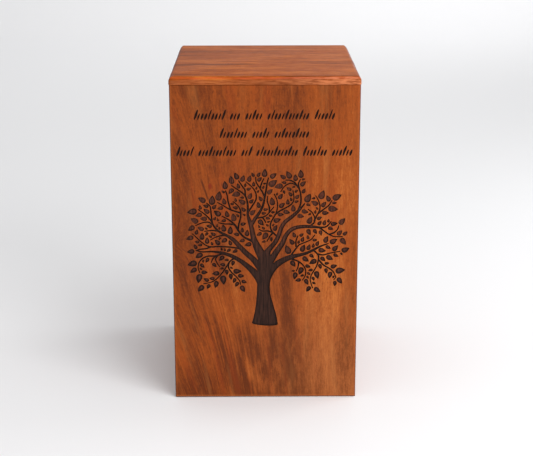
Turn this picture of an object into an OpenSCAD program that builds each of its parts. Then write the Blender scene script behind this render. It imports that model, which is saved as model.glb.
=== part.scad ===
/* [Body] */
// Width across the front panel
body_w = 128; // [105:1:180]
// Depth over the front and back panels
body_d = 147; // [100:1:200]
// Height from the underside to the face of the top board
total_h = 230; // [190:1:300]
// Thickness of the four wall boards
wall_t = 6; // [4:0.5:9]
// Eased radius on the outer arrises of the walls
arris_r = 0.8; // [0.3:0.1:1.5]

/* [Top board] */
// Thickness of the top board
top_t = 5.6; // [4.5:0.1:10]
// How far the top board stands past the walls on each side
top_overhang = 0.3; // [0:0.1:4]
// Radius sanded along its upper edges
top_round = 3; // [1:0.1:4]
// Radius of its four corners in plan
top_corner = 1.2; // [0.5:0.1:4]
// Eased radius under its edges
top_ease = 0.4; // [0.1:0.1:1]

/* [Base board] */
// Thickness of the base board
base_t = 6; // [4:0.5:9]
// Clearance between the base board and each wall
base_gap = 0.25; // [0.1:0.05:1]

/* [Glue blocks] */
// Side of the square glue block in each corner
block_w = 15; // [12:0.5:24]
// Height of each glue block
block_h = 26; // [20:1:60]

/* [Screws] */
// Diameter of the screw shank
screw_d = 3.5; // [2.5:0.1:4.5]
// Diameter of the countersunk head
head_d = 7; // [5.5:0.1:9]
// Height of the countersunk head
head_h = 2.2; // [1.6:0.1:3]
// Length of the screw from its head to its point
screw_len = 20; // [14:1:26]
// Length of the tapered point
point_len = 4; // [2:0.5:6]
// Clearance round the shank and the head in the base board
screw_gap = 0.2; // [0.1:0.05:0.5]
// How far the head lies under the face of the base board
head_sink = 0.4; // [0.2:0.1:1]
// Length of each arm of the cross recess
cross_len = 4; // [3:0.1:5]
// Width of each arm of the cross recess
cross_w = 0.9; // [0.6:0.1:1.2]
// Depth of the cross recess
cross_depth = 1.2; // [0.6:0.1:1.5]

/* [Engraved tree] */
// Depth of the engraved tree
tree_depth = 0.8; // [0.3:0.1:1.5]
// Clear width between the crown and the sides of the front
crown_margin = 5.5; // [4:0.5:30]
// Height of the trunk's foot above the underside
tree_foot = 54; // [20:1:90]
// Clear height between the crown and the last row of strokes
crown_gap = 7.8; // [2:0.1:30]
// How far the crown is spread to the sides, as a share of its drawn width
crown_spread = 1.08; // [0.8:0.01:1.2]
// Width of a twig where it springs
twig_w = 1.25; // [0.9:0.05:1.6]
// Width of a twig at its tip
twig_tip_w = 0.75; // [0.5:0.05:0.9]
// Spacing of the leaves along a twig
leaf_pitch = 2.3; // [1.8:0.1:6]
// Length of the longest leaf
leaf_max = 7; // [4:0.1:8]
// Length of the shortest leaf
leaf_min = 2.4; // [1.5:0.1:3.5]
// Clear width kept round each leaf
leaf_gap = 0.42; // [0.3:0.02:1.5]

/* [Rows of strokes] */
// Depth of the strokes
stroke_depth = 0.6; // [0.3:0.1:1.5]
// Distance of the first row's head line below the face of the top board
rows_drop = 22; // [14:0.5:40]
// Distance from one row to the next
row_pitch = 12.5; // [9:0.1:18]
// Height of a tall stroke
stroke_h = 7.2; // [4:0.1:9]
// Height of a short stroke
short_h = 4.6; // [3:0.1:6]
// Width of a stroke at its middle
stroke_w = 1.5; // [0.6:0.05:1.6]
// Clear width between the longest row and the sides of the front
rows_margin = 5.5; // [4:0.5:20]
// Gap between two groups of strokes
group_gap = 3.2; // [2:0.1:8]
// Lean of the strokes from upright
stroke_lean = 20; // [0:1:35]

/* [Hidden] */

round_fn = 48;
// Overshoot of a cutter past the face it cuts
over = 1;

wall_h = total_h - top_t;
side_len = body_d - 2 * wall_t;
inner_w = body_w - 2 * wall_t;
screw_x = inner_w / 2 - block_w / 2;
screw_y = side_len / 2 - block_w / 2;

// ---- The tree: design points in millimetres, with the middle of the foot at [0, 0] ----

// How far the crown reaches to the right of the trunk, and above its foot
crown_reach = 54;
crown_top = 114;

// The middle line of the trunk and of each main bough, as [x, height, width], from its foot outwards
trunk = [[-0.3, 1.5, 18.2], [-0.1, 6, 16.4], [-0.3, 11, 14.1], [-0.6, 16, 12], [-1, 21, 10.2],
         [-1.2, 26, 9], [-1.2, 32, 8.8], [-1, 38, 9.2], [-0.7, 44, 9.2], [-0.4, 50, 8.8], [-0.5, 55, 7.6]];
boughs = [
    [[-3, 24, 3.6], [-3.4, 32, 4.6], [-6.6, 38.6, 5], [-11, 43.4, 3.8], [-16, 47.8, 3.1],
     [-22, 51.5, 2.7], [-28, 53.6, 2], [-34, 54.5, 1.3], [-40, 54.3, 1], [-44, 55.3, 0.8]],
    [[-2.2, 41, 5.4], [-7.5, 48.6, 4.2], [-12.5, 53.6, 3.7], [-17, 58.9, 3.2], [-20.5, 63.1, 2.8],
     [-25, 66.3, 1.9], [-29.8, 69.2, 1.5], [-32.8, 73, 1.3], [-34, 76, 1.2]],
    [[-6, 61, 3], [-10.5, 63.1, 1.7], [-14, 65.3, 1.4], [-17, 69.3, 1.5], [-19, 73.2, 1.4],
     [-22.5, 76.8, 1.1], [-27.5, 79.9, 0.8]],
    [[-1.5, 50, 7], [-4.8, 57, 5.6], [-7.4, 64, 4], [-8.4, 70, 3.3], [-9.6, 75.5, 3], [-11, 80.5, 1.8],
     [-11, 86, 1.5], [-11.6, 91.5, 1.3], [-13.4, 95.3, 1.1], [-17, 98.3, 0.9], [-21.3, 101.5, 0.8]],
    [[-8.8, 73, 2.4], [-6.4, 78, 2.5], [-3.6, 82.4, 1.9], [-1.4, 87.5, 1.6], [-0.3, 93, 1.4],
     [0.6, 98.5, 1.2], [1.4, 104, 1], [2.2, 107, 0.8]],
    [[-1, 50, 6.4], [2.5, 56, 3.8], [6.3, 61, 3.2], [8.6, 66, 3], [10.2, 71.3, 2.9], [12.7, 75.6, 2.8],
     [16.4, 78.8, 2.6], [20.4, 82.7, 2.2], [23.3, 86.3, 1.3], [25.2, 88.8, 0.8]],
    [[2, 45, 5], [7.4, 54.6, 4.1], [11.1, 60.6, 3.5], [12.9, 65.2, 3.1], [15.6, 69.2, 2.9],
     [19.5, 71.5, 2.7], [25, 72.3, 2.4], [31, 72, 1.9], [35.5, 71.6, 1.3], [39.2, 72.4, 1.1], [42, 76, 0.8]],
    [[0.9, 26, 4], [1.4, 34, 4.4], [4, 40.8, 5], [8, 45.6, 4.6], [12, 48.2, 4.1],
     [16, 50.2, 3.6], [21, 51.6, 2.6], [26, 53, 2.1], [31, 55.6, 1.8], [35.5, 58.2, 1.3], [40.5, 60.1, 0.8]],
];

// The middle line of each twig, as [x, height], from the bough that it springs from
twigs = [
    [[-19.5, 49.8], [-22.5, 47.5], [-24.6, 44], [-27, 40], [-30, 36], [-34, 32.6], [-40, 31]],
    [[-23.3, 46.5], [-23.6, 43], [-21.5, 39.2], [-18.5, 36], [-16.3, 32.7], [-15.9, 30.3]],
    [[-27, 53], [-32, 51.3], [-36.5, 51.2], [-40.2, 49.5], [-42.6, 46], [-43, 42.5], [-42, 39]],
    [[-31.5, 51.6], [-33.6, 49.2], [-34.6, 46.4]],
    [[-30.2, 52], [-31.8, 49], [-30.8, 46], [-29.2, 43.4]],
    [[-16, 56.5], [-22, 57.6], [-29, 58.1], [-35.5, 58], [-39.5, 60.3], [-43, 63.8], [-46.5, 67.5]],
    [[-34.5, 58], [-38, 56.6], [-41.5, 56.2], [-44.5, 55.2]],
    [[-21.5, 64.4], [-26, 66.1], [-31.2, 65], [-35, 62.7]],
    [[-29, 69], [-33.8, 69.7], [-38.8, 69]],
    [[-33.6, 75], [-34.3, 82], [-34.9, 87], [-37.2, 89.3]],
    [[-33.5, 75.5], [-37.5, 80.5], [-42.6, 84.7]],
    [[-32.9, 73.5], [-35.5, 75.4], [-39.5, 75.3], [-44.4, 73.1]],
    [[-17.3, 69.5], [-16.8, 74], [-15.6, 79], [-15.7, 84], [-17.5, 87.5], [-20.5, 90.3]],
    [[-15.5, 82], [-19, 83.3], [-22.5, 84.6], [-26, 87], [-30.3, 89.7]],
    [[-22, 84.6], [-23.4, 90], [-24, 94.5], [-25, 98]],
    [[-19, 73.4], [-22, 74.2], [-25.5, 74.3], [-29.8, 75.2]],
    [[-12.6, 94.2], [-12.7, 98], [-14.8, 101.6], [-16.8, 105]],
    [[-10.8, 82.5], [-8, 87.4], [-5.8, 91.6], [-5.9, 96], [-8, 100], [-12.2, 104.2]],
    [[-0.3, 93], [-1.8, 97], [-3.6, 100], [-5.7, 104], [-5.9, 107.5]],
    [[-3.2, 99.6], [-2.2, 103], [-0.8, 106.5]],
    [[-6, 78.5], [-2, 78.9], [1.5, 81], [5.7, 86.6]],
    [[2.6, 82.2], [2.6, 86], [1.3, 90.5], [1.6, 94]],
    [[-1.8, 79], [-0.4, 76.9], [0.4, 75]],
    [[8, 65], [4.6, 68.4], [3.2, 72.6], [4.2, 76.6], [6.5, 81], [7.8, 86], [7.4, 91.5], [5.6, 95.5]],
    [[6, 80.4], [9, 83.2], [13, 85.6], [16.6, 88.2], [18.2, 92], [17.5, 98]],
    [[5, 68], [1.5, 69.2], [-2, 69.2], [-4, 70.5]],
    [[5, 68], [3, 65.5], [1, 61.5]],
    [[20.4, 83], [22.3, 88], [22.6, 93], [21.8, 98], [19.6, 101.5], [15.8, 102.9], [12, 100.5], [9.8, 96.8]],
    [[20.8, 100], [18.6, 103.4], [15.8, 105], [12.8, 105.1]],
    [[21.5, 99], [21, 103], [22.3, 105.8]],
    [[28, 72.3], [31, 75], [31.3, 79], [29.7, 82.4], [27, 84.6]],
    [[31, 76], [32.8, 80.2], [34.5, 84], [34.5, 88], [33.5, 91.2], [31.8, 94.3]],
    [[33.6, 81.6], [37.3, 84.7], [40.5, 87.6], [42.3, 90.8]],
    [[34, 71.8], [37.5, 69], [40.8, 66.4], [44, 65], [49.5, 65]],
    [[40.5, 66.5], [44, 68], [46, 70.2], [46.8, 73]],
    [[14.5, 49.6], [19.5, 48], [23.3, 45.5], [25.7, 41.5], [25.7, 37], [23.8, 33.3]],
    [[15.5, 50], [19.3, 56], [21.5, 59], [26, 61.2], [29.5, 63.2], [31.6, 66.3]],
    [[19.7, 57.6], [19.6, 62], [20.9, 65.8]],
    [[30.5, 55.4], [33.8, 52], [34, 48], [32.6, 43], [30.2, 38.5], [28.9, 34], [30.5, 27.5]],
    [[33.3, 52.6], [37, 51.8], [41, 53], [48, 54.4]],
    [[34, 48.6], [37.2, 44.6], [41.2, 41.9], [44, 39], [45.4, 35.5], [44, 33.6]],
    [[21.5, 46.8], [21, 43], [19.8, 40]],
];

// Number of strokes in each group, row by row
stroke_groups = [[9, 3, 5, 12, 6], [8, 5, 10], [5, 11, 3, 12, 7, 6]];

// ---- Sizes worked out from the ones above ----

rows_head = total_h - rows_drop;
rows_end = rows_head - (len(stroke_groups) - 1) * row_pitch - stroke_h;
tree_k = min((body_w / 2 - crown_margin) / (crown_reach * crown_spread),
             (rows_end - crown_gap - tree_foot) / crown_top);

function sum(v) = [for (x = v) 1] * v;
function row_gaps(row) = (len(row) - 1) * group_gap;
stroke_pitch = min([for (row = stroke_groups) (body_w - 2 * rows_margin - row_gaps(row)) / (sum(row) - 1)]);

// ---- Smooth curves ----

// Spacing of the points of a drawn curve
curve_step = 2.6;

// A place between the second and the third of four control points
function between(a, b, c, d, t) =
    0.5 * (2 * b + (c - a) * t + (2 * a - 5 * b + 4 * c - d) * t * t
           + (3 * b - a - 3 * c + d) * t * t * t);

// A smooth curve through control points, with a place about every step
function curve(p, step) = [
    for (i = [0 : len(p) - 2])
        let (n = max(1, round(norm(p[i + 1] - p[i]) / step)))
        for (s = [0 : n - 1])
            between(p[max(i - 1, 0)], p[i], p[i + 1], p[min(i + 2, len(p) - 1)], s / n),
    p[len(p) - 1]
];

// The direction of a curve at one of its places
function heading(c, i) =
    let (d = c[min(i + 1, len(c) - 1)] - c[max(i - 1, 0)])
    atan2(d.y, d.x);

// A place at a distance from another, in a direction
function away(p, angle, distance) = [p.x + distance * cos(angle), p.y + distance * sin(angle)];

// The outline of a branch: one side outwards, then the other side back
function branch_outline(c) = concat(
    [for (i = [0 : len(c) - 1]) away(c[i], heading(c, i) + 90, c[i].z / 2)],
    [for (i = [len(c) - 1 : -1 : 0]) away(c[i], heading(c, i) - 90, c[i].z / 2)]
);

// A twig's middle line with its width, which narrows to the tip
function tapered(p) = [
    for (i = [0 : len(p) - 1])
        [p[i].x, p[i].y, twig_w + (twig_tip_w - twig_w) * i / (len(p) - 1)]
];

// A middle line moved out from the trunk as far as the crown is spread
function spread(p) = [for (q = p) [q.x * crown_spread, q.y, q.z]];

branches = [for (p = concat([trunk], boughs, [for (p = twigs) tapered(p)])) spread(p)];

// ---- Leaves ----

// A leaf is [x, height of its round end, length, direction of its point]

// Half the width of a leaf of length 1, at t of the way to its point
leaf_plump = 0.33;
function leaf_half(t) = leaf_plump * 2.5 * sqrt(t) * pow(1 - t, 0.95);

// Three discs that cover a leaf, as [x, height, radius]
function leaf_discs(leaf) = [
    for (t = [0.34, 0.66, 0.92])
        let (p = away(leaf, leaf[3], leaf.z * t))
        [p.x, p.y, leaf.z * leaf_half(t)]
];

// Whether a leaf clears all of the discs near it
function is_clear(leaf, near) =
    len([
        for (a = leaf_discs(leaf))
            for (b = near)
                if (norm([a.x - b.x, a.y - b.y]) < a.z + b.z + leaf_gap) 1
    ]) == 0;

// The longest leaf that fits at a place, turned a little if that helps
leaf_turns = [0, 18, -18];
leaf_shrink = 0.84;
function fitted(place, size, near) =
    size < leaf_min ? [] :
    let (foot = away(place, place[3], place.z / 2 + leaf_gap + 0.06 * size),
         found = [
             for (turn = leaf_turns)
                 let (leaf = [foot.x, foot.y, size, place[4] + turn])
                 if (is_clear(leaf, near)) leaf
         ])
    len(found) > 0 ? [found[0]] : fitted(place, size * leaf_shrink, near);

// Leaves taken place by place, each clear of the branches and of the leaves before it
leaf_sizes = [1, 0.7, 0.86, 0.58, 0.78];
function grown(places, i, leaves, discs) =
    i == len(places) ? leaves :
    let (place = places[i],
         reach = 1.5 * leaf_max,
         near = [for (d = discs) if (max(abs(d.x - place.x), abs(d.y - place.y)) < reach + d.z) d],
         leaf = fitted(place, leaf_max * leaf_sizes[i % len(leaf_sizes)], near))
    grown(places, i + 1, concat(leaves, leaf), concat(discs, [for (f = leaf) each leaf_discs(f)]));

// Where leaves may spring: at the tip of each thin branch, then along both of its sides.
// A place is [x, height, width of the branch, direction to the leaf's foot, direction of the leaf].
tip_lean = [12, -26, 30, -8, 20, -34];
side_lean = [52, 38, 64, 46];
// The widest branch tip, and the widest branch side, that bears leaves
leafy_tip_w = 2;
leafy_side_w = 2.4;
lines = [for (p = branches) curve(p, leaf_pitch)];
tips = [
    for (k = [0 : len(lines) - 1])
        let (c = lines[k], n = len(c) - 1, a = heading(c, n))
        if (c[n].z < leafy_tip_w) [c[n].x, c[n].y, 0, a, a + tip_lean[k % len(tip_lean)]]
];
sides = [
    for (c = lines)
        for (i = [1 : len(c) - 1])
            for (side = [-1, 1])
                let (a = heading(c, i))
                if (c[i].z < leafy_side_w)
                    [c[i].x, c[i].y, c[i].z, a + 90 * side, a + side_lean[i % len(side_lean)] * side]
];
branch_discs = [for (c = lines) for (p = c) [p.x, p.y, p.z / 2]];
function tree_leaves() = grown(concat(tips, sides), 0, [], branch_discs);

// The outline of a leaf: one side to the point, then the other side back
wide_at = 0.12;
narrows_at = 0.5;
leaf_shape = [[0, 0], [wide_at, leaf_half(wide_at)], [narrows_at, leaf_half(narrows_at)],
              [1, 0], [narrows_at, -leaf_half(narrows_at)], [wide_at, -leaf_half(wide_at)]];
function leaf_outline(leaf) = [
    for (p = leaf_shape)
        away(away(leaf, leaf[3], leaf.z * p.x), leaf[3] + 90, leaf.z * p.y)
];

// ---- The engraving, drawn flat ----

// The trunk's foot is a shallow arc, square to the trunk
module trunk_foot() {
    foot = branches[0][0];
    translate([foot.x, foot.y])
        rotate(heading(curve(branches[0], curve_step), 0) - 90)
            polygon([for (a = [180 : 15 : 360]) [foot.z / 2 * cos(a), foot.y * sin(a)]]);
}

module trunk_and_branches() {
    offset(delta = 0.01) {
        trunk_foot();
        for (p = branches)
            polygon(branch_outline(curve(p, curve_step)));
    }
}

module leaves() {
    for (leaf = tree_leaves())
        polygon(leaf_outline(leaf));
}

// Stands a drawing of the tree on the front, as large as the front takes
module on_front() {
    translate([0, tree_foot])
        scale(tree_k)
            children();
}

// A leaning stroke, pointed at both ends
module stroke(h, w) {
    slope = tan(stroke_lean);
    right_side = [[0, 0], [w / 2, h / 3], [w / 2, h * 2 / 3]];
    left_side = [[0, h], [-w / 2, h * 2 / 3], [-w / 2, h / 3]];
    polygon([for (p = concat(right_side, left_side)) [p.x + slope * (p.y - stroke_h / 2), p.y]]);
}

// One row of strokes in groups, centred; every fourth stroke is tall and every third is thin
thin_share = 0.7;
module stroke_row(groups) {
    row_w = stroke_pitch * (sum(groups) - 1) + row_gaps(groups);
    for (g = [0 : len(groups) - 1])
        for (i = [0 : groups[g] - 1]) {
            k = sum([for (j = [0 : g]) groups[j]]) - groups[g] + i;
            h = (i + g) % 4 == 0 ? stroke_h : short_h;
            w = i % 3 == 1 ? stroke_w * thin_share : stroke_w;
            translate([k * stroke_pitch + g * group_gap - row_w / 2, 0])
                stroke(h, w);
        }
}

module rows_of_strokes() {
    for (r = [0 : len(stroke_groups) - 1])
        translate([0, rows_head - r * row_pitch - stroke_h])
            stroke_row(stroke_groups[r]);
}

// Sinks a flat drawing of [x, height] into the front face
module sunk(depth) {
    translate([0, depth - body_d / 2, 0])
        rotate([90, 0, 0])
            linear_extrude(depth + over)
                children();
}

// ---- The boards ----

// A board's section, standing on [0, 0], with its upper and lower corners rounded
module eased_section(w, h, r_top, r_low) {
    translate([-w / 2, r_low])
        square([w, h - r_low - r_top]);
    translate([r_low - w / 2, 0])
        square([w - 2 * r_low, h - r_top]);
    translate([r_top - w / 2, r_low])
        square([w - 2 * r_top, h - r_low]);
    for (s = [-1, 1]) {
        translate([s * (w / 2 - r_low), r_low])
            circle(r_low, $fn = round_fn);
        translate([s * (w / 2 - r_top), h - r_top])
            circle(r_top, $fn = round_fn);
    }
}

// What is taken off a long edge along X at [0, 0] whose board lies towards +Y and +Z
module edge_cut(length, r) {
    rotate([90, 0, 90])
        linear_extrude(length, center = true)
            difference() {
                translate([-over, -over])
                    square(r + over);
                translate([r, r])
                    circle(r, $fn = round_fn);
            }
}

// A full-width wall board at the front, its two outer arrises and its lower edge eased
module wide_board() {
    difference() {
        translate([0, wall_t - body_d / 2, 0])
            rotate([0, 0, 180])
                linear_extrude(wall_h)
                    difference() {
                        translate([-body_w / 2, 0])
                            square([body_w, wall_t]);
                        for (s = [-1, 1])
                            translate([s * body_w / 2, wall_t])
                                difference() {
                                    square(2 * arris_r, center = true);
                                    translate([-s * arris_r, -arris_r])
                                        circle(arris_r, $fn = round_fn);
                                }
                    }
        translate([0, -body_d / 2, 0])
            edge_cut(body_w + 2 * over, arris_r);
    }
}

module front_panel() {
    color("sienna")
        difference() {
            wide_board();
            sunk(tree_depth)
                on_front()
                    trunk_and_branches();
            sunk(tree_depth)
                on_front()
                    leaves();
            sunk(stroke_depth)
                rows_of_strokes();
        }
}

module back_panel() {
    color("sienna")
        rotate([0, 0, 180])
            wide_board();
}

// A side board, between the front and back panels; side is -1 on the left
module side_panel(side) {
    color("peru")
        difference() {
            translate([side * (body_w - wall_t) / 2 - wall_t / 2, -side_len / 2, 0])
                cube([wall_t, side_len, wall_h]);
            translate([side * body_w / 2, 0, 0])
                rotate([0, 0, side * 90])
                    edge_cut(side_len + 2 * over, arris_r);
        }
}

module top_board() {
    w = body_w + 2 * top_overhang;
    d = body_d + 2 * top_overhang;
    color("burlywood")
        translate([0, 0, wall_h])
            intersection() {
                rotate([90, 0, 0])
                    linear_extrude(d + 2 * over, center = true)
                        eased_section(w, top_t, top_round, top_ease);
                rotate([90, 0, 90])
                    linear_extrude(w + 2 * over, center = true)
                        eased_section(d, top_t, top_round, top_ease);
                linear_extrude(top_t)
                    translate([0, -d / 2])
                        eased_section(w, d, top_corner, top_corner);
            }
}

// ---- The base and its fixings ----

module base_board() {
    shank_r = screw_d / 2 + screw_gap;
    sink_r = head_d / 2 + screw_gap;
    color("sienna")
        difference() {
            translate([base_gap - inner_w / 2, base_gap - side_len / 2, 0])
                cube([inner_w - 2 * base_gap, side_len - 2 * base_gap, base_t]);
            for (sx = [-1, 1])
                for (sy = [-1, 1])
                    translate([sx * screw_x, sy * screw_y, 0]) {
                        translate([0, 0, -over])
                            cylinder(r = shank_r, h = base_t + 2 * over, $fn = round_fn);
                        translate([0, 0, -over])
                            cylinder(r = sink_r, h = head_sink + over, $fn = round_fn);
                        translate([0, 0, head_sink])
                            cylinder(r1 = sink_r, r2 = shank_r, h = head_h, $fn = round_fn);
                    }
        }
}

// A block in the corner at [sx, sy], with the pilot hole for its screw
pilot_gap = 0.05;
pilot_spare = 1;
pilot_r = screw_d / 2 + pilot_gap;
module glue_block(sx, sy) {
    color("tan")
        difference() {
            translate([sx * screw_x - block_w / 2, sy * screw_y - block_w / 2, base_t])
                cube([block_w, block_w, block_h]);
            translate([sx * screw_x, sy * screw_y, 0])
                cylinder(r = pilot_r, h = head_sink + screw_len + pilot_spare, $fn = round_fn);
        }
}

// A countersunk wood screw, point upwards, in the corner at [sx, sy]
point_r = 0.3;
cross_turn = 20;
module base_screw(sx, sy) {
    color("gainsboro")
        translate([sx * screw_x, sy * screw_y, head_sink])
            difference() {
                rotate_extrude($fn = round_fn)
                    polygon([[0, 0], [head_d / 2, 0], [screw_d / 2, head_h],
                             [screw_d / 2, screw_len - point_len], [point_r, screw_len], [0, screw_len]]);
                for (a = [0, 90])
                    rotate([0, 0, a + cross_turn])
                        translate([-cross_len / 2, -cross_w / 2, -over])
                            cube([cross_len, cross_w, cross_depth + over]);
            }
}

front_panel();
back_panel();
side_panel(-1);  // left_panel
side_panel(1);  // right_panel
top_board();
base_board();
glue_block(-1, -1);  // glue_block_front_left
glue_block(1, -1);  // glue_block_front_right
glue_block(-1, 1);  // glue_block_back_left
glue_block(1, 1);  // glue_block_back_right
base_screw(-1, -1);  // base_screw_front_left
base_screw(1, -1);  // base_screw_front_right
base_screw(-1, 1);  // base_screw_back_left
base_screw(1, 1);  // base_screw_back_right
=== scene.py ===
import math

import bpy
import numpy as np
from mathutils import Matrix, Vector, geometry


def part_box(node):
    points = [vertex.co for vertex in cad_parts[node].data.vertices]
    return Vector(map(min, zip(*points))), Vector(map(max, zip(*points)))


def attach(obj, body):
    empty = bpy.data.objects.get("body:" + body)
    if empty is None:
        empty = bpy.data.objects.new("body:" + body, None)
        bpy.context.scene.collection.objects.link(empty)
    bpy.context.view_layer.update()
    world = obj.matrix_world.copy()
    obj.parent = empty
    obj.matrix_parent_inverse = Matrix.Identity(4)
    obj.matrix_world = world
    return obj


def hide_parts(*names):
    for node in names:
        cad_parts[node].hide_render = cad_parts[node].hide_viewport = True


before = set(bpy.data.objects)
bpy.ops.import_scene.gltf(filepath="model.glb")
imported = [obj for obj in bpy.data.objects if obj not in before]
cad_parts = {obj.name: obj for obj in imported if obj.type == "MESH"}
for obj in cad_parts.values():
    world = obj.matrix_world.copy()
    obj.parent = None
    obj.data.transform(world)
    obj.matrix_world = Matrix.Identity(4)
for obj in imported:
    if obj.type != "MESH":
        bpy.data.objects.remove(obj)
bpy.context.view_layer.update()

MM = 0.001


# ---------------------------------------------------------------- side boards and back board
# Two side boards stand between the front and the back board and are glued to them edge to face.
# All are quarter-inch rosewood planed flat, grain upright, outer arrises eased with fine paper and oiled.

class Wire:
    """A number, vector or colour on its way through a material; arithmetic on it adds the maths nodes."""

    def __init__(self, finish, socket):
        self.finish = finish
        self.socket = socket

    def maths(self, operation, *values):
        return self.finish.node("ShaderNodeMath", "Value", {"operation": operation}, dict(enumerate(values)))

    def __add__(self, other):
        return self.maths("ADD", self, other)

    __radd__ = __add__

    def __sub__(self, other):
        return self.maths("SUBTRACT", self, other)

    def __rsub__(self, other):
        return self.maths("SUBTRACT", other, self)

    def __mul__(self, other):
        return self.maths("MULTIPLY", self, other)

    __rmul__ = __mul__

    def __truediv__(self, other):
        return self.maths("DIVIDE", self, other)

    def __pow__(self, other):
        return self.maths("POWER", self, other)

    def __abs__(self):
        return self.maths("ABSOLUTE", self)

    def band(self, low, high):
        """0 below low, 1 above high, smooth between."""
        return self.finish.node("ShaderNodeMapRange", "Result", {"interpolation_type": "SMOOTHSTEP"},
                                {"Value": self, "From Min": low, "From Max": high})

    def kept(self, low, high):
        """No less than low and no more than high."""
        return self.finish.node("ShaderNodeClamp", "Result", {}, {"Value": self, "Min": low, "Max": high})

    def line(self, near, far):
        """1 along the line where this is 0, and nothing away from it; near and far are squared distances."""
        return 1 - (self * self).band(near, far)


class Finish:
    """A material on one principled shader, with the calls that build its texture."""

    def __init__(self, name, **plain):
        self.material = bpy.data.materials.new(name)
        self.material.use_nodes = True
        self.tree = self.material.node_tree
        self.shader = self.tree.nodes["Principled BSDF"]
        for socket, value in plain.items():
            self.shader.inputs[socket.replace("_", " ")].default_value = value

    def node(self, kind, out, settings, inputs):
        """Adds a node: its settings first, then its sockets, each a plain value or a wire."""
        made = self.tree.nodes.new(kind)
        for setting, value in settings.items():
            setattr(made, setting, value)
        for key, value in inputs.items():
            if isinstance(value, Wire):
                self.tree.links.new(value.socket, made.inputs[key])
            else:
                made.inputs[key].default_value = value
        return Wire(self, made.outputs[out])

    def set(self, socket, wire):
        self.tree.links.new(wire.socket, self.shader.inputs[socket])

    def place(self):
        """x, y and z of the surface, in millimetres."""
        metres = self.node("ShaderNodeTexCoord", "Object", {}, {})
        split = self.node("ShaderNodeSeparateXYZ", "X", {}, {"Vector": metres}).socket.node
        return [Wire(self, split.outputs[axis]) * 1000 for axis in "XYZ"]

    def vector(self, x, y, z):
        return self.node("ShaderNodeCombineXYZ", "Vector", {}, {"X": x, "Y": y, "Z": z})

    def noise(self, at, detail=2.0, rough=0.5, bend=0.0):
        """Smooth noise about 0.5, one swell per unit of at."""
        inputs = {"Vector": at, "Scale": 1.0, "Detail": detail, "Roughness": rough, "Distortion": bend}
        return self.node("ShaderNodeTexNoise", "Fac", {}, inputs)

    def mix(self, share, first, second):
        """Colour first with share of colour second laid over it, in the node's sockets for colours."""
        return self.node("ShaderNodeMix", 2, {"data_type": "RGBA"}, {0: share, 6: first, 7: second})

    def bump(self, height, depth):
        """Normals for a height from 0 to 1 that stands for depth millimetres."""
        return self.node("ShaderNodeBump", "Normal", {},
                         {"Height": height, "Strength": 1.0, "Distance": depth * MM})


def paint(red, green, blue):
    """A display colour from 0 to 255 as the linear colour that a material takes."""
    display = (red / 255, green / 255, blue / 255)
    linear = [c / 12.92 if c <= 0.04045 else ((c + 0.055) / 1.055) ** 2.4 for c in display]
    return (*linear, 1.0)


class Wood:
    """The colour and height of oiled rosewood: u is across the grain, along with it, through into the board.
    seed moves the figure to another part of the tree; shade lightens it; fine is its share of fine grain."""

    DARK, MIDDLE, LIGHT = paint(94, 41, 12), paint(143, 67, 19), paint(178, 98, 40)
    RED, STRAW, PORE = paint(150, 58, 18), paint(160, 97, 48), paint(52, 22, 10)

    def __init__(self, finish, u, along, through, seed, shade=0.5, fine=1.0):
        def grain(width, length, detail=2.0, rough=0.55, shift=0.0):
            at = finish.vector(u / width + seed + shift, along / length + shift, through / width + seed)
            return finish.noise(at, detail, rough) - 0.5

        wander = finish.noise(finish.vector(u / 45 + seed, along / 150, through / 45), 1.0) - 0.5
        u = u + wander * 12
        self.fibres = grain(0.8, 9, 3.0, 0.7)
        # broad bands and ribbons, then thin lines and fibres, then short flecks
        tone = grain(21, 130) * 1.15 + grain(5.2, 60, 3.0, 0.6, 7) * 0.5
        tone = tone + grain(1.7, 17, 3.0, 0.6, 3) * 0.36 * fine + self.fibres * 0.72 * fine
        tone = tone + grain(2.4, 4.5, 3.0, 0.7, 5) * 0.4 + grain(0.7, 1.6, 2.0, 0.6, 21) * 0.4
        self.tone = tone + shade
        pores = grain(0.45, 3.2, 1.0, 0.5, 9).band(0.12, 0.25)
        colour = finish.mix(self.tone.band(-0.12, 0.56), self.DARK, self.MIDDLE)
        colour = finish.mix(self.tone.band(0.46, 0.98), colour, self.LIGHT)
        colour = finish.mix(grain(9, 90, 2.0, 0.5, 13).band(0.02, 0.3) * 0.4, colour, self.RED)
        colour = finish.mix(grain(7, 60, 2.0, 0.5, 17).band(0.04, 0.3) * 0.35, colour, self.STRAW)
        self.colour = finish.mix(pores * 0.4, colour, self.PORE)
        self.height = self.fibres + self.tone * 0.25 - pores * 0.7

    def dress(self, finish, rough, depth, colour=None, extra_rough=0.0):
        """Gives a finish this grain, rough between its fibres, and depth in millimetres."""
        finish.set("Base Color", self.colour if colour is None else colour)
        finish.set("Roughness", self.fibres * 0.25 + rough + extra_rough)
        finish.set("Normal", finish.bump(self.height, depth))


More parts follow.
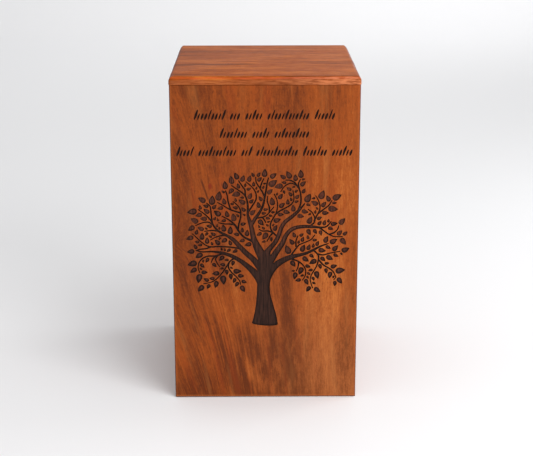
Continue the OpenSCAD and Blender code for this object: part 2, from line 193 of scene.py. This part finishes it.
def rounded_rectangle(low, high, corner, counts, arc=5):
    """Points round a rectangle with rounded corners, anticlockwise, and the way outwards at each.
    counts are the steps along its lower or upper side and along its left or right side."""
    points, outwards = [], []
    stops = [(high[0], low[1], -1, 1), (high[0], high[1], -1, -1),
             (low[0], high[1], 1, -1), (low[0], low[1], 1, 1)]
    for k, (x, z, in_x, in_z) in enumerate(stops):
        centre = np.array([x + in_x * corner, z + in_z * corner])
        for i in range(arc + 1):
            turn = math.radians(90 * (k - 1) + 90 * i / arc)
            way = np.array([math.cos(turn), math.sin(turn)])
            points.append(centre + corner * way)
            outwards.append(way)
        start = points[-1]
        along = np.array([-way[1], way[0]])
        x, z, in_x, in_z = stops[(k + 1) % 4]
        run = (np.array([x + in_x * corner, z + in_z * corner]) + corner * way - start) @ along
        count = counts[1 - k % 2]
        for i in range(1, count):
            points.append(start + along * run * i / count)
            outwards.append(way)
    return np.array(points), np.array(outwards)


def eased(radius, steps=5):
    """Inset and depth of each step over a rounded edge, from the flat face to the side."""
    turns = np.linspace(0, math.pi / 2, steps + 1)
    return [(radius * (1 - math.sin(t)), radius * (1 - math.cos(t))) for t in turns]


def board_rings(low, high, thickness, face_ease, back_ease, corner, counts):
    """Rings of points [x, z, depth] from the face's flat part, over both eased edges, to the back's."""
    rings = []
    for inset, depth in eased(face_ease) + [(i, thickness - d) for i, d in reversed(eased(back_ease, 3))]:
        ring, _ = rounded_rectangle(low + inset, high - inset, max(corner - inset, 0.1), counts)
        rings.append(np.column_stack([ring, np.full(len(ring), depth)]))
    return rings


def shell(rings):
    """Faces between neighbouring closed rings, with the first and the last ring filled."""
    n = len(rings[0])
    sides = [(r * n + (i + 1) % n, r * n + i, (r + 1) * n + i, (r + 1) * n + (i + 1) % n)
             for r in range(len(rings) - 1) for i in range(n)]
    last = range((len(rings) - 1) * n, len(rings) * n)
    return sides + [tuple(range(n)), tuple(reversed(last))]


SHARP_TURN = 30


def made_piece(name, points, faces, finish, node):
    """A mesh piece from points in millimetres, in place of a CAD node."""
    mesh = bpy.data.meshes.new(name)
    mesh.from_pydata([tuple(p * MM) for p in points], [], faces)
    mesh.validate()
    mesh.polygons.foreach_set("use_smooth", [True] * len(mesh.polygons))
    mesh.set_sharp_from_angle(angle=math.radians(SHARP_TURN))
    mesh.materials.append(finish.material)
    piece = bpy.data.objects.new(name, mesh)
    bpy.context.scene.collection.objects.link(piece)
    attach(piece, "root")
    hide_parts(node)
    return piece


def node_box(node):
    """A CAD node's lowest and highest corner, in millimetres."""
    low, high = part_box(node)
    return np.array(low) / MM, np.array(high) / MM


WALL_EASE, SIDE_EASE, BACK_EASE = 0.8, 0.25, 0.15
WALL_CORNER, WALL_STEPS = 0.2, (26, 46)
OIL_GLOSS = 0.12
PLANED_ROUGH, PLANED_DEPTH = 0.42, 0.06


def plain_board(node, place, size, finish, face_ease):
    """A flat board of size (width, height, thickness) whose face is turned by place(x, z, depth)."""
    width, height, thickness = size
    rings = board_rings(np.zeros(2), np.array([width, height]), thickness, face_ease, BACK_EASE,
                        WALL_CORNER, WALL_STEPS)
    points = [place(*p) for ring in rings for p in ring]
    return made_piece(node + "_board", points, shell(rings), finish, node)


for node, side, seed in (("left_panel", -1, 31.0), ("right_panel", 1, 47.0)):
    finish = Finish(node + "_rosewood", Specular_IOR_Level=OIL_GLOSS)
    x, y, z = finish.place()
    Wood(finish, y, z, x, seed, 0.3).dress(finish, PLANED_ROUGH, PLANED_DEPTH)
    low, high = node_box(node)
    width, height, thickness = high[1] - low[1], high[2] - low[2], high[0] - low[0]
    start = np.array([high[0], low[1], low[2]] if side > 0 else [low[0], high[1], low[2]])
    plain_board(node, lambda u, v, d: start + np.array([-side * d, side * u, v]),
                (width, height, thickness), finish, SIDE_EASE)

finish = Finish("back_rosewood", Specular_IOR_Level=OIL_GLOSS)
x, y, z = finish.place()
Wood(finish, x, z, y, 63.0, 0.42).dress(finish, PLANED_ROUGH, PLANED_DEPTH)
low, high = node_box("back_panel")
width, thickness, height = high - low
plain_board("back_panel", lambda u, v, d: np.array([high[0] - u, high[1] - d, low[2] + v]),
            (width, height, thickness), finish, WALL_EASE)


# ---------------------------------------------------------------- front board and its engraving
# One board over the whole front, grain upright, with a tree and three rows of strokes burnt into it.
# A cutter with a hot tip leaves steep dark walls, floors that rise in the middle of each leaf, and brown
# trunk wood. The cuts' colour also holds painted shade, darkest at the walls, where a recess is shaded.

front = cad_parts["front_panel"]
low, high = node_box("front_panel")
face_y = float(low[1])
half_width = float(high[0])


def face_loops(board, level):
    """The outlines of a board's flat face, each a closed run of points [x, z] with the wood on its left."""
    places = {}
    number = []
    for v in board.data.vertices:
        key = tuple(round(c / MM, 4) for c in v.co)
        number.append(places.setdefault(key, len(places)))
    points = np.array(list(places))
    follow = {}
    for face in board.data.polygons:
        corners = [number[i] for i in face.vertices]
        if all(abs(points[c][1] - level) < 1e-3 for c in corners):
            for a, b in zip(corners, corners[1:] + corners[:1]):
                if b in follow.get(a, set()):
                    continue
                if a in follow.get(b, set()):
                    follow[b].remove(a)
                else:
                    follow.setdefault(a, set()).add(b)
    loops = []
    left = {a: set(b) for a, b in follow.items() if b}
    while left:
        start = next(iter(left))
        loop, here = [], start
        while True:
            loop.append(here)
            step = left[here].pop()
            if not left[here]:
                del left[here]
            here = step
            if here == start:
                break
        if len(loop) > 2:
            loops.append(points[loop][:, [0, 2]])
    return loops


def signed_area(loop):
    """The area inside a loop, less than nothing where it runs clockwise."""
    return 0.5 * np.sum(loop[:, 0] * np.roll(loop[:, 1], -1) - np.roll(loop[:, 0], -1) * loop[:, 1])


def turn_at(loop):
    """How sharply the loop turns at each of its points, in degrees."""
    ahead = np.roll(loop, -1, 0) - loop
    behind = loop - np.roll(loop, 1, 0)
    cross = behind[:, 0] * ahead[:, 1] - behind[:, 1] * ahead[:, 0]
    return np.degrees(np.abs(np.arctan2(cross, np.sum(ahead * behind, 1))))


def smoothed(loop, corner_turn, step):
    """A loop drawn as smooth curves between its corners, with a point about every step."""
    n = len(loop)
    corner = turn_at(loop) > corner_turn
    drawn = []
    for i in range(n):
        a, b, c, d = loop[i - 1], loop[i], loop[(i + 1) % n], loop[(i + 2) % n]
        if corner[i]:
            a = 2 * b - c
        if corner[(i + 1) % n]:
            d = 2 * c - b
        count = max(int(round(np.linalg.norm(c - b) / step)), 1)
        for s in range(count):
            t = s / count
            drawn.append(0.5 * (2 * b + (c - a) * t + (2 * a - 5 * b + 4 * c - d) * t ** 2
                                + (3 * b - a - 3 * c + d) * t ** 3))
    return np.array(drawn)


def chance(p, salt):
    """A steady number from 0 to 1 for a place."""
    return (math.sin(p[0] * 12.9898 + p[1] * 78.233 + salt * 37.719) * 43758.5453) % 1.0


class Carving:
    """Gathers the rings of every cut, with how dark each ring is painted, burn and painted recess shade
    together, into one mesh.
    """

    def __init__(self):
        self.points, self.faces, self.burn_and_shade = [], [], []

    def ring(self, loop, depth, burn_and_shade):
        start = len(self.points)
        depths = np.broadcast_to(depth, len(loop))
        self.points += [(p[0], face_y + d, p[1]) for p, d in zip(loop, depths)]
        self.burn_and_shade += [burn_and_shade] * len(loop)
        return range(start, start + len(loop))

    def bridge(self, outer, inner):
        n = len(outer)
        self.faces += [(outer[(i + 1) % n], outer[i], inner[i], inner[(i + 1) % n]) for i in range(n)]


carving = Carving()
loops = sorted(face_loops(front, face_y), key=lambda loop: -abs(signed_area(loop)))
plate, cuts = loops[0], loops[1:]

# a leaf or stroke has six points on the face and is cut as rings of (share of its outline, depth, burn with
# painted shade)
LEAF_RINGS = [(1.0, 0.0, 0.0), (0.955, 0.1, 0.85), (0.86, 0.66, 1.0), (0.68, 0.78, 0.86), (0.4, 0.7, 0.6)]
STROKE_RINGS = [(1.0, 0.0, 0.0), (0.93, 0.07, 1.0), (0.74, 0.46, 1.0), (0.42, 0.58, 1.0)]
LARGEST_LEAF = 40
CORNER_TURN, POINT_STEP = 52, 0.9
STATIONS = 11
stations = 0.5 - 0.5 * np.cos(np.linspace(0, math.pi, STATIONS))
bow = np.sin(math.pi * stations)
leaf_widths = np.sqrt(stations) * (1 - stations) ** 0.95 / (math.sqrt(0.5) * 0.5 ** 0.95)
stroke_widths = 1.1 * bow ** 0.45
rims = []
walls = []
for cut in cuts:
    if len(cut) != 6 or not -LARGEST_LEAF < signed_area(cut) < 0:
        walls.append(smoothed(cut, CORNER_TURN, POINT_STEP))
        continue
    tip = int(np.argmax(turn_at(cut)))
    head, foot = cut[tip], cut[(tip + 3) % 6]
    length = np.linalg.norm(head - foot)
    axis = (head - foot) / length
    across = np.array([-axis[1], axis[0]])
    middles = cut[:3] + cut[3:]
    stroke = np.allclose(middles, middles[0], atol=0.02)
    half = np.abs((cut - foot) @ across).max()
    if stroke:
        halves, profile = half * stroke_widths, STROKE_RINGS
        bend = 0.05 * length * (chance(foot, 5) - 0.3)
        burnt, rib_rise, rib_burn_and_shade = 1.0, 0.0, 1.0
    else:
        halves, profile = half * leaf_widths, LEAF_RINGS
        bend = 0.07 * length * (chance(foot, 1) - 0.5)
        burnt, rib_rise, rib_burn_and_shade = 0.82 + 0.18 * chance(foot, 2), 0.12, 0.42
    middle = foot + np.outer(stations * length, axis) + np.outer(bow * bend, across)
    sides = halves[:, None] * across
    outline = np.vstack([middle + sides, (middle - sides)[-2:0:-1]])
    heart = foot + axis * length * 0.42 + across * bend
    before = None
    for scale, depth, burn_and_shade in profile:
        ring = heart + (outline - heart) * scale
        now = carving.ring(ring, depth, burn_and_shade * burnt)
        if before is None:
            rims.append((ring, now))
        else:
            carving.bridge(before, now)
        before = now
    spine = foot + np.outer((0.16 + 0.62 * stations) * length, axis) + np.outer(bow * bend, across)
    rib = carving.ring(spine, depth - rib_rise, rib_burn_and_shade * burnt)
    for i in range(STATIONS - 1):
        near, far = -i % len(outline), -(i + 1) % len(outline)
        carving.faces.append((before[i + 1], before[i], rib[i], rib[i + 1]))
        carving.faces.append((before[near], before[far], rib[i + 1], rib[i]))

# the trunk and the branches have upright walls and a wide floor
LIP_DEPTH, WALL_DEPTH, TRUNK_DEPTH = 0.07, 0.62, 0.8
floors = []
for wall in walls:
    rim = carving.ring(wall, 0.0, 0.0)
    lip = carving.ring(wall, LIP_DEPTH, 0.9)
    foot = carving.ring(wall, WALL_DEPTH, 1.0)
    carving.bridge(rim, lip)
    carving.bridge(lip, foot)
    rims.append((wall, rim))
    floors.append((wall, foot))


def away_from(points, loops):
    """The distance from each point to the nearest of the loops' points."""
    edge = np.vstack(loops)
    return np.array([np.sqrt(np.min(np.sum((edge - p) ** 2, axis=1))) for p in points])


def lay_in(outlines, inner, depths, burn_and_shade_levels):
    """Fills the areas inside an odd number of rings that are already in the carving, with inner points of
    their own depth and burn with painted shade."""
    flat, edges, faces, known = [], [], [], []
    for loop, ids in outlines:
        numbers = list(range(len(flat), len(flat) + len(loop)))
        flat += [Vector(p) for p in loop]
        known += list(ids)
        edges += list(zip(numbers, numbers[1:] + numbers[:1]))
        faces.append(numbers if signed_area(loop) > 0 else numbers[::-1])
    flat += [Vector(p) for p in inner]
    verts, _, tris, sources, _, owners = geometry.delaunay_2d_cdt(flat, edges, faces, 0, 1e-5, True)
    number = [None] * len(verts)
    for tri, inside in zip(tris, owners):
        if len(inside) % 2 == 0:
            continue
        for v in tri:
            if number[v] is None:
                source = min(sources[v]) if sources[v] else -1
                if 0 <= source < len(known):
                    number[v] = known[source]
                else:
                    k = source - len(known) if source >= 0 else 0
                    number[v] = len(carving.points)
                    carving.points.append((verts[v][0], face_y + depths[k], verts[v][1]))
                    carving.burn_and_shade.append(burn_and_shade_levels[k])
        a, b, c = (verts[i] for i in tri)
        left = (b[0] - a[0]) * (c[1] - a[1]) - (b[1] - a[1]) * (c[0] - a[0]) > 0
        corners = [number[i] for i in tri]
        carving.faces.append(tuple(corners if left else corners[::-1]))


def grid(bottom_left, top_right, pitch):
    """Points about pitch apart over a rectangle, every other row shifted."""
    made = []
    for j, z in enumerate(np.arange(bottom_left[1] + pitch, top_right[1], pitch * 0.9)):
        for x in np.arange(bottom_left[0] + pitch * (0.5 + 0.5 * (j % 2)), top_right[0], pitch):
            made.append((x, z))
    return np.array(made)


# the floor reaches its full depth half a millimetre from the wall, and is painted less dark further in, both
# lighter burn and less painted shade away from the wall
FLOOR_PITCH, FLOOR_GAP = 0.9, 0.22
floor_points = grid(walls[0].min(0), walls[0].max(0), FLOOR_PITCH)
gaps = away_from(floor_points, walls)
floor_points, gaps = floor_points[gaps > FLOOR_GAP], gaps[gaps > FLOOR_GAP]
floor_depths = WALL_DEPTH + (TRUNK_DEPTH - WALL_DEPTH) * np.clip(gaps / 0.5, 0, 1)
floor_burn_and_shade = 1.0 - 0.35 * np.clip((gaps - 0.2) / 1.1, 0, 1)
lay_in(floors, floor_points, floor_depths, floor_burn_and_shade)

# the board round the engraving, from its face over the eased arrises to its back
FRONT_CORNER, FRONT_STEPS = 0.3, (32, 56)
thickness = high[1] - low[1]
rings = board_rings(low[[0, 2]], high[[0, 2]], thickness, WALL_EASE, BACK_EASE, FRONT_CORNER, FRONT_STEPS)
ids = [carving.ring(ring[:, :2], ring[:, 2], 0.0) for ring in rings]
for outer, inner in zip(ids, ids[1:]):
    carving.bridge(outer, inner)
carving.faces.append(tuple(reversed(ids[-1])))

# hand sanding leaves the face a twentieth of a millimetre hollow in places
SANDED_HOLLOW = 0.05
FACE_PITCH, FACE_GAP = 3.1, 0.9
face_edge = rings[0][:, :2]
plate_points = grid(plate.min(0), plate.max(0), FACE_PITCH)
gaps = away_from(plate_points, [loop for loop, _ in rims] + [face_edge])
plate_points = plate_points[gaps > FACE_GAP]
px, pz = plate_points.T
wave = 0.5 + 0.22 * np.sin(px / 17 + 0.6) + 0.2 * np.sin(pz / 31 + px / 60)
wave = wave + 0.08 * np.sin(pz / 9.3 + px / 23)
lay_in([(face_edge, ids[0])] + rims, plate_points, SANDED_HOLLOW * wave, np.zeros(len(px)))

finish = Finish("front_rosewood", Specular_IOR_Level=OIL_GLOSS)
x, y, z = finish.place()


def soft_rise(height):
    """Nothing below 0 and the height itself above, with a soft bend between them."""
    return (height + (height * height + 400) ** 0.5) * 0.5


def patch_at(x0, z0, thin_x, thin_z):
    """1 at a place on the board and fading round it, faster for a larger thin_x or thin_z."""
    spread = ((x - x0) ** 2 * thin_x + (z - z0) ** 2 * thin_z) * -1
    return spread.maths("EXPONENT", spread)


# the grain leans to the right on its way down the lower left, and bends round a burr at the left edge
lean = (0.15 - x * 0.0042).kept(0.0, 0.34)
tilt = (-0.02 - x * 0.0035).kept(0.0, 0.2)
burr = patch_at(-66, 114, 0.006, 0.01)
u = x - lean * soft_rise(96 - z) + tilt * soft_rise(z - 128) + burr * 9

# light and dark parts of the board, and a painted light fall-off: the face is painted brighter towards the
# right, where the key light stands
left_low = (1 - (x + z * 0.1).band(-12, 26)) * (1 - z.band(70, 112))
blotch_area = (x + 34).band(0, 22) * (1 - (x - 12).band(0, 24)) * (1 - z.band(30, 70))
blotch = finish.noise(finish.vector(u / 11, z / 30, 3.0), 3.0, 0.6).band(0.26, 0.66) * blotch_area
trunk_band = (x - 9).band(0, 5) * (1 - (x - 15).band(0, 6)) * (1 - z.band(84, 104)) * z.band(24, 58)
streaks = finish.noise(finish.vector(u / 1.9, z / 130, 5.0), 2.0, 0.6) - 0.5
patch = patch_at(-20, 26, 0.009, 0.005)
corner = (1 - (x + 44).band(0, 26)) * (1 - z.band(8, 34))
slant = (x + 11.4 + z * 0.43).line(2, 80) * (1 - z.band(44, 70))
# x * 0.0022 is painted light: the face grows lighter towards the right, standing in for the key light's
# fall-off
shade = 0.35 + x * 0.0022 - blotch * 0.6 - patch * 0.1 - trunk_band * 0.32
shade = shade + streaks * (left_low * 0.8 + slant * 0.8) + left_low * 0.14 - slant * 0.16 - corner * 0.36
wood = Wood(finish, u, z, y, 11.0, shade, 1 - blotch_area * 0.45)
straw = finish.mix(wood.tone.band(0.0, 0.8), paint(104, 56, 27), paint(178, 110, 62))
colour = finish.mix((1 - z.band(0, 115)) * (x + 40).band(0, 80) * 0.5, wood.colour, straw)

# a pin knot with a dark streak beside it, and dark specks low down
knot = 1 - (((x + 37.5) * 0.75) ** 2 + ((z - 155) * 0.42) ** 2).band(0.15, 1.3)
vein = (x + 41 + (z - 152) * 0.33).line(0.05, 0.9) * z.band(143, 147) * (1 - z.band(157, 162))
specks = finish.noise(finish.vector(x / 0.9, z / 1.3, 1.0), 1.0).band(0.68, 0.76) * blotch_area
colour = finish.mix(vein * 0.65, colour, Wood.PORE)
colour = finish.mix(knot * 0.7, colour, paint(112, 30, 12))
colour = finish.mix(specks * 0.6, colour, Wood.PORE)

# the face is painted darker along its side and bottom edges, and paler just inside them
from_side = half_width - abs(x)
at_face = 1 - (y - face_y).band(0.5, 1.2)
darker_edges = x.maths("MAXIMUM", 1 - from_side.band(0.25, 0.8), 1 - z.band(0.3, 0.9))
paler_inside_edges = (1 - z.band(0.9, 2.2)) * 0.5 + (1 - from_side.band(1.0, 2.0)) * 0.25
colour = finish.mix(paler_inside_edges * at_face, colour, paint(176, 98, 48))
colour = finish.mix(darker_edges * at_face * 0.75, colour, paint(62, 24, 12))

# scorched wood in the cuts with painted shade: black at the walls, where the recess shade is painted in,
# brown and streaked where the floor is wide
burn_and_shade = finish.node("ShaderNodeAttribute", "Fac", {"attribute_name": "burn_and_shade"}, {})
soot = finish.noise(finish.vector(x / 0.8, y / 0.8, z / 12), 3.0, 0.65).band(0.3, 0.7)
black = finish.mix(soot, paint(18, 9, 7), paint(40, 21, 14))
brown = finish.mix(soot, paint(26, 13, 9), paint(57, 33, 24))
brown = finish.mix(z.band(98, 128), brown, finish.mix(soot, paint(38, 18, 12), paint(98, 54, 36)))
russet = finish.mix(soot, paint(40, 17, 12), paint(94, 46, 30))
scorch_and_shade = finish.mix(burn_and_shade.band(0.62, 0.96), brown, black)
scorch_and_shade = finish.mix(burn_and_shade.band(0.4, 0.64), russet, scorch_and_shade)
colour = finish.mix(burn_and_shade.band(0.0, 0.3), colour, scorch_and_shade)
wood.dress(finish, PLANED_ROUGH, PLANED_DEPTH, colour, burn_and_shade * 0.3)

points = [np.array(p) for p in carving.points]
board = made_piece("engraved_front", points, carving.faces, finish, "front_panel")
mark = board.data.attributes.new("burn_and_shade", "FLOAT", "POINT")
mark.data.foreach_set("value", carving.burn_and_shade)


# ---------------------------------------------------------------- top board
# One rosewood board glued on all four walls, its grain from side to side. Its upper edges were sanded
# round by hand, so the curve wavers along the edge; its lower edge is only broken.

low, high = node_box("top_board")
top_z = float(high[2])
front_y = float(low[1])
half_width = float(high[0])
TOP_ROUND, TOP_CORNER, LOWER_EASE = 3, 1.2, 0.4
TOP_STEPS = (70, 80)
outline, outwards = rounded_rectangle(low[:2], high[:2], TOP_CORNER, TOP_STEPS)
run = np.cumsum(np.linalg.norm(np.roll(outline, -1, 0) - outline, axis=1))
sway = 0.5 * np.sin(run / 9.1) + 0.35 * np.sin(run / 5.3 + 1) + 0.25 * np.sin(run / 15.7 + 2)
rings = []
for t, (inset, depth) in zip(np.linspace(0, math.pi / 2, 9), eased(TOP_ROUND, 8)):
    ring, _ = rounded_rectangle(low[:2] + inset, high[:2] - inset, max(TOP_CORNER - inset, 0.3), TOP_STEPS)
    worn = np.minimum(0.3 * (sway - 0.8) * math.sin(2 * t) ** 2, 0)
    ring = ring + outwards * worn[:, None] * 0.8
    rings.append(np.column_stack([ring, high[2] - depth + worn * 0.5]))
for inset, depth in reversed(eased(LOWER_EASE, 3)):
    ring, _ = rounded_rectangle(low[:2] + inset, high[:2] - inset, TOP_CORNER - inset, TOP_STEPS)
    rings.append(np.column_stack([ring, np.full(len(ring), low[2] + depth)]))

finish = Finish("top_rosewood", Specular_IOR_Level=0.015, Coat_Roughness=0.42)
x, y, z = finish.place()
waver = finish.noise(finish.vector(x / 26, 2.0, 0.0), 1.0) - 0.5
streak = (y + 21 + waver * 9 - x * 0.03).line(2.0, 18.0) * (1 - x.band(-22, 4))
ribbons = finish.noise(finish.vector(y / 9 + x / 240, x / 95, 8.0), 4.0, 0.6, 0.1) - 0.5
mottle = finish.noise(finish.vector(y / 2.6, x / 11, z / 1.1), 3.0, 0.65) - 0.5
# x * 0.002 is painted light: the top is painted brighter towards the right, where the key light stands
shade = 0.57 + x * 0.002 - streak * 0.9 + ribbons * 2.7 + mottle * 1.7
wood = Wood(finish, y + x * 0.03, x * 0.7, z, 23.0, shade)

# the flat is oiled wood, the round painted redder and brighter as a painted highlight where the light
# catches it, and the side below it darker
broken = finish.noise(finish.vector(x / 9, y / 0.9, z / 0.9), 3.0, 0.6)
below = top_z - z
flat = 1 - below.band(0.05, 0.4)
wavering = below + waver * 1.8
edge = wavering.band(0.2, 0.9) * (1 - wavering.band(0.9, 2.2))
side = 1 - (below - waver * 2).band(1.4, 2.8)
# painted highlight: the front round is painted bright orange towards the right, where the key light glints
# on it
painted_highlight = (1 - (y - front_y).band(0.6, 3.2)) * x.band(0, 58) * broken.band(0.34, 0.6)
# the top is painted darker near its left and right ends, behind the front round
darker_edges = (1 - (half_width - abs(x)).band(0.9, 2.7)) * (y - front_y).band(2.8, 5.8)
sawn = finish.mix(broken.band(0.36, 0.64), paint(124, 64, 37), paint(168, 97, 59))
colour = finish.mix(flat * 0.2 + 0.04, wood.colour, paint(172, 88, 22))
# painted highlight: the round of the upper edges is painted redder and brighter, a glint of the light on the
# oiled round
colour = finish.mix(edge * (broken.band(0.3, 0.62) * 0.4 + 0.25), colour, paint(196, 84, 44))
colour = finish.mix((1 - side) * 0.65, colour, sawn)
colour = finish.mix(painted_highlight * 0.55, colour, paint(224, 138, 92))
colour = finish.mix(darker_edges * 0.6, colour, paint(74, 42, 30))
finish.set("Coat Weight", edge * x.band(-50, 64) * broken.band(0.3, 0.6) * 0.6)
wood.dress(finish, 0.4, 0.05, colour)
made_piece("sanded_top", [p for ring in rings for p in ring], shell(rings), finish, "top_board")


# ---------------------------------------------------------------- base board, glue blocks and screws
# The base board is let in from below; four countersunk wood screws hold it to blocks glued in the corners.
# The board and the blocks are left as sawn, with no oil, and the screws are plain zinc.

def refinish(node, finish):
    """Gives a CAD node a finish in place of its flat colour."""
    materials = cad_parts[node].data.materials
    materials.clear()
    materials.append(finish.material)


SAWN_GLOSS = 0.15
for k, node in enumerate(sorted(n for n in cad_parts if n.startswith("glue_block"))):
    finish = Finish(node + "_sawn", Specular_IOR_Level=SAWN_GLOSS)
    x, y, z = finish.place()
    Wood(finish, x, z, y, 71.0 + k).dress(finish, 0.7, 0.12)
    refinish(node, finish)

finish = Finish("base_rosewood", Specular_IOR_Level=SAWN_GLOSS)
x, y, z = finish.place()
Wood(finish, x, y, z, 85.0).dress(finish, 0.6, 0.1)
refinish("base_board", finish)

finish = Finish("zinc_screw", Metallic=1.0, Roughness=0.38)
x, y, z = finish.place()
scuffs = finish.noise(finish.vector(x / 0.6, y / 0.6, z / 0.6), 3.0)
finish.set("Base Color", finish.mix(scuffs, paint(150, 148, 142), paint(205, 203, 198)))
finish.set("Roughness", 0.3 + scuffs * 0.25)
finish.set("Normal", finish.bump(scuffs, 0.02))
for node in sorted(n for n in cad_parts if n.startswith("base_screw")):
    refinish(node, finish)


# ---------------------------------------------------------------- stage, light and camera
# A pale sweep of card under and behind the box, in a pale room. The key light stands high on the right;
# weaker ones hang overhead, stand at the right side and light the card behind.

REACH, RISE, BEND = 2.5, 2.5, 0.8
FRONT_EDGE, HALF_WIDTH = -2.0, 3.0
# the card lies just under the box, with an opening there so that the underside is lit when it is looked at
CLEARANCE = 0.0003
OPENING = (0.0625, 0.0715)

# seen from beneath, the card is clear
finish = Finish("pale_card", Roughness=0.9, Base_Color=(0.82, 0.82, 0.83, 1))
beneath = finish.node("ShaderNodeNewGeometry", "Backfacing", {}, {})
clear = finish.node("ShaderNodeBsdfTransparent", "BSDF", {}, {})
card = Wire(finish, finish.shader.outputs["BSDF"])
seen = finish.node("ShaderNodeMixShader", "Shader", {}, {0: beneath, 1: card, 2: clear})
finish.tree.links.new(seen.socket, finish.tree.nodes["Material Output"].inputs["Surface"])

lengthwise = [(y, 0.0) for y in (FRONT_EDGE, -OPENING[1], OPENING[1])]
for turn in np.linspace(0, math.pi / 2, 16):
    lengthwise.append((REACH - BEND + BEND * math.sin(turn), BEND * (1 - math.cos(turn))))
lengthwise.append((REACH, RISE))
crosswise = (-HALF_WIDTH, -OPENING[0], OPENING[0], HALF_WIDTH)
rows = len(lengthwise)
squares = [(i, j) for i in range(len(crosswise) - 1) for j in range(rows - 1) if (i, j) != (1, 1)]
mesh = bpy.data.meshes.new("card_sweep")
mesh.from_pydata([(x, y, z - CLEARANCE) for x in crosswise for y, z in lengthwise], [],
                 [(i * rows + j, (i + 1) * rows + j, (i + 1) * rows + j + 1, i * rows + j + 1)
                  for i, j in squares])
mesh.polygons.foreach_set("use_smooth", [True] * len(mesh.polygons))
mesh.materials.append(finish.material)
floor = bpy.data.objects.new("card_sweep", mesh)
bpy.context.scene.collection.objects.link(floor)

world = bpy.data.worlds.new("room")
bpy.context.scene.world = world
world.use_nodes = True
world.node_tree.nodes["Background"].inputs["Color"].default_value = (1.0, 1.0, 1.0, 1)
world.node_tree.nodes["Background"].inputs["Strength"].default_value = 0.68


def soft_light(name, position, aim, size, power):
    """A rectangle of light in watts, turned from its position towards its aim."""
    light = bpy.data.lights.new(name, "AREA")
    light.shape = "RECTANGLE"
    light.size, light.size_y = size
    light.energy = power
    turned = (Vector(aim) - Vector(position)).to_track_quat("-Z", "Y").to_matrix().to_4x4()
    lamp = bpy.data.objects.new(name, light)
    lamp.matrix_world = Matrix.Translation(position) @ turned
    bpy.context.scene.collection.objects.link(lamp)


soft_light("key_softbox", (0.88, -1.14, 0.72), (0, 0, 0.1), (1.0, 0.7), 14.6)
soft_light("top_softbox", (0.35, -0.6, 1.4), (0.1, -0.15, 0.1), (0.8, 0.6), 5)
soft_light("far_softbox", (0.72, 1.72, 1.15), (-0.38, 2.65, 0.66), (1.0, 0.8), 8.4)
soft_light("side_softbox", (0.95, 0.3, 0.5), (0.25, 0.05, 0), (0.5, 0.4), 2.6)

camera = bpy.data.cameras.new("camera")
camera.sensor_width = 36
camera.lens = 87.24
camera.clip_start = 0.05
yaw, pitch, roll = (math.radians(a) for a in (0.440, 16.227, -0.067))
ahead = Vector((math.sin(yaw) * math.cos(pitch), math.cos(yaw) * math.cos(pitch), -math.sin(pitch)))
right = Vector((math.cos(yaw), -math.sin(yaw), 0))
up = right.cross(ahead)
right, up = right * math.cos(roll) + up * math.sin(roll), up * math.cos(roll) - right * math.sin(roll)
turned = Matrix((right, up, -ahead)).transposed().to_4x4()
viewer = bpy.data.objects.new("camera", camera)
viewer.matrix_world = Matrix.Translation((-0.00564, -0.92485, 0.3731)) @ turned
bpy.context.scene.collection.objects.link(viewer)
bpy.context.scene.camera = viewer
bpy.context.scene.view_settings.view_transform = "Standard"
bpy.context.scene.view_settings.look = "None"
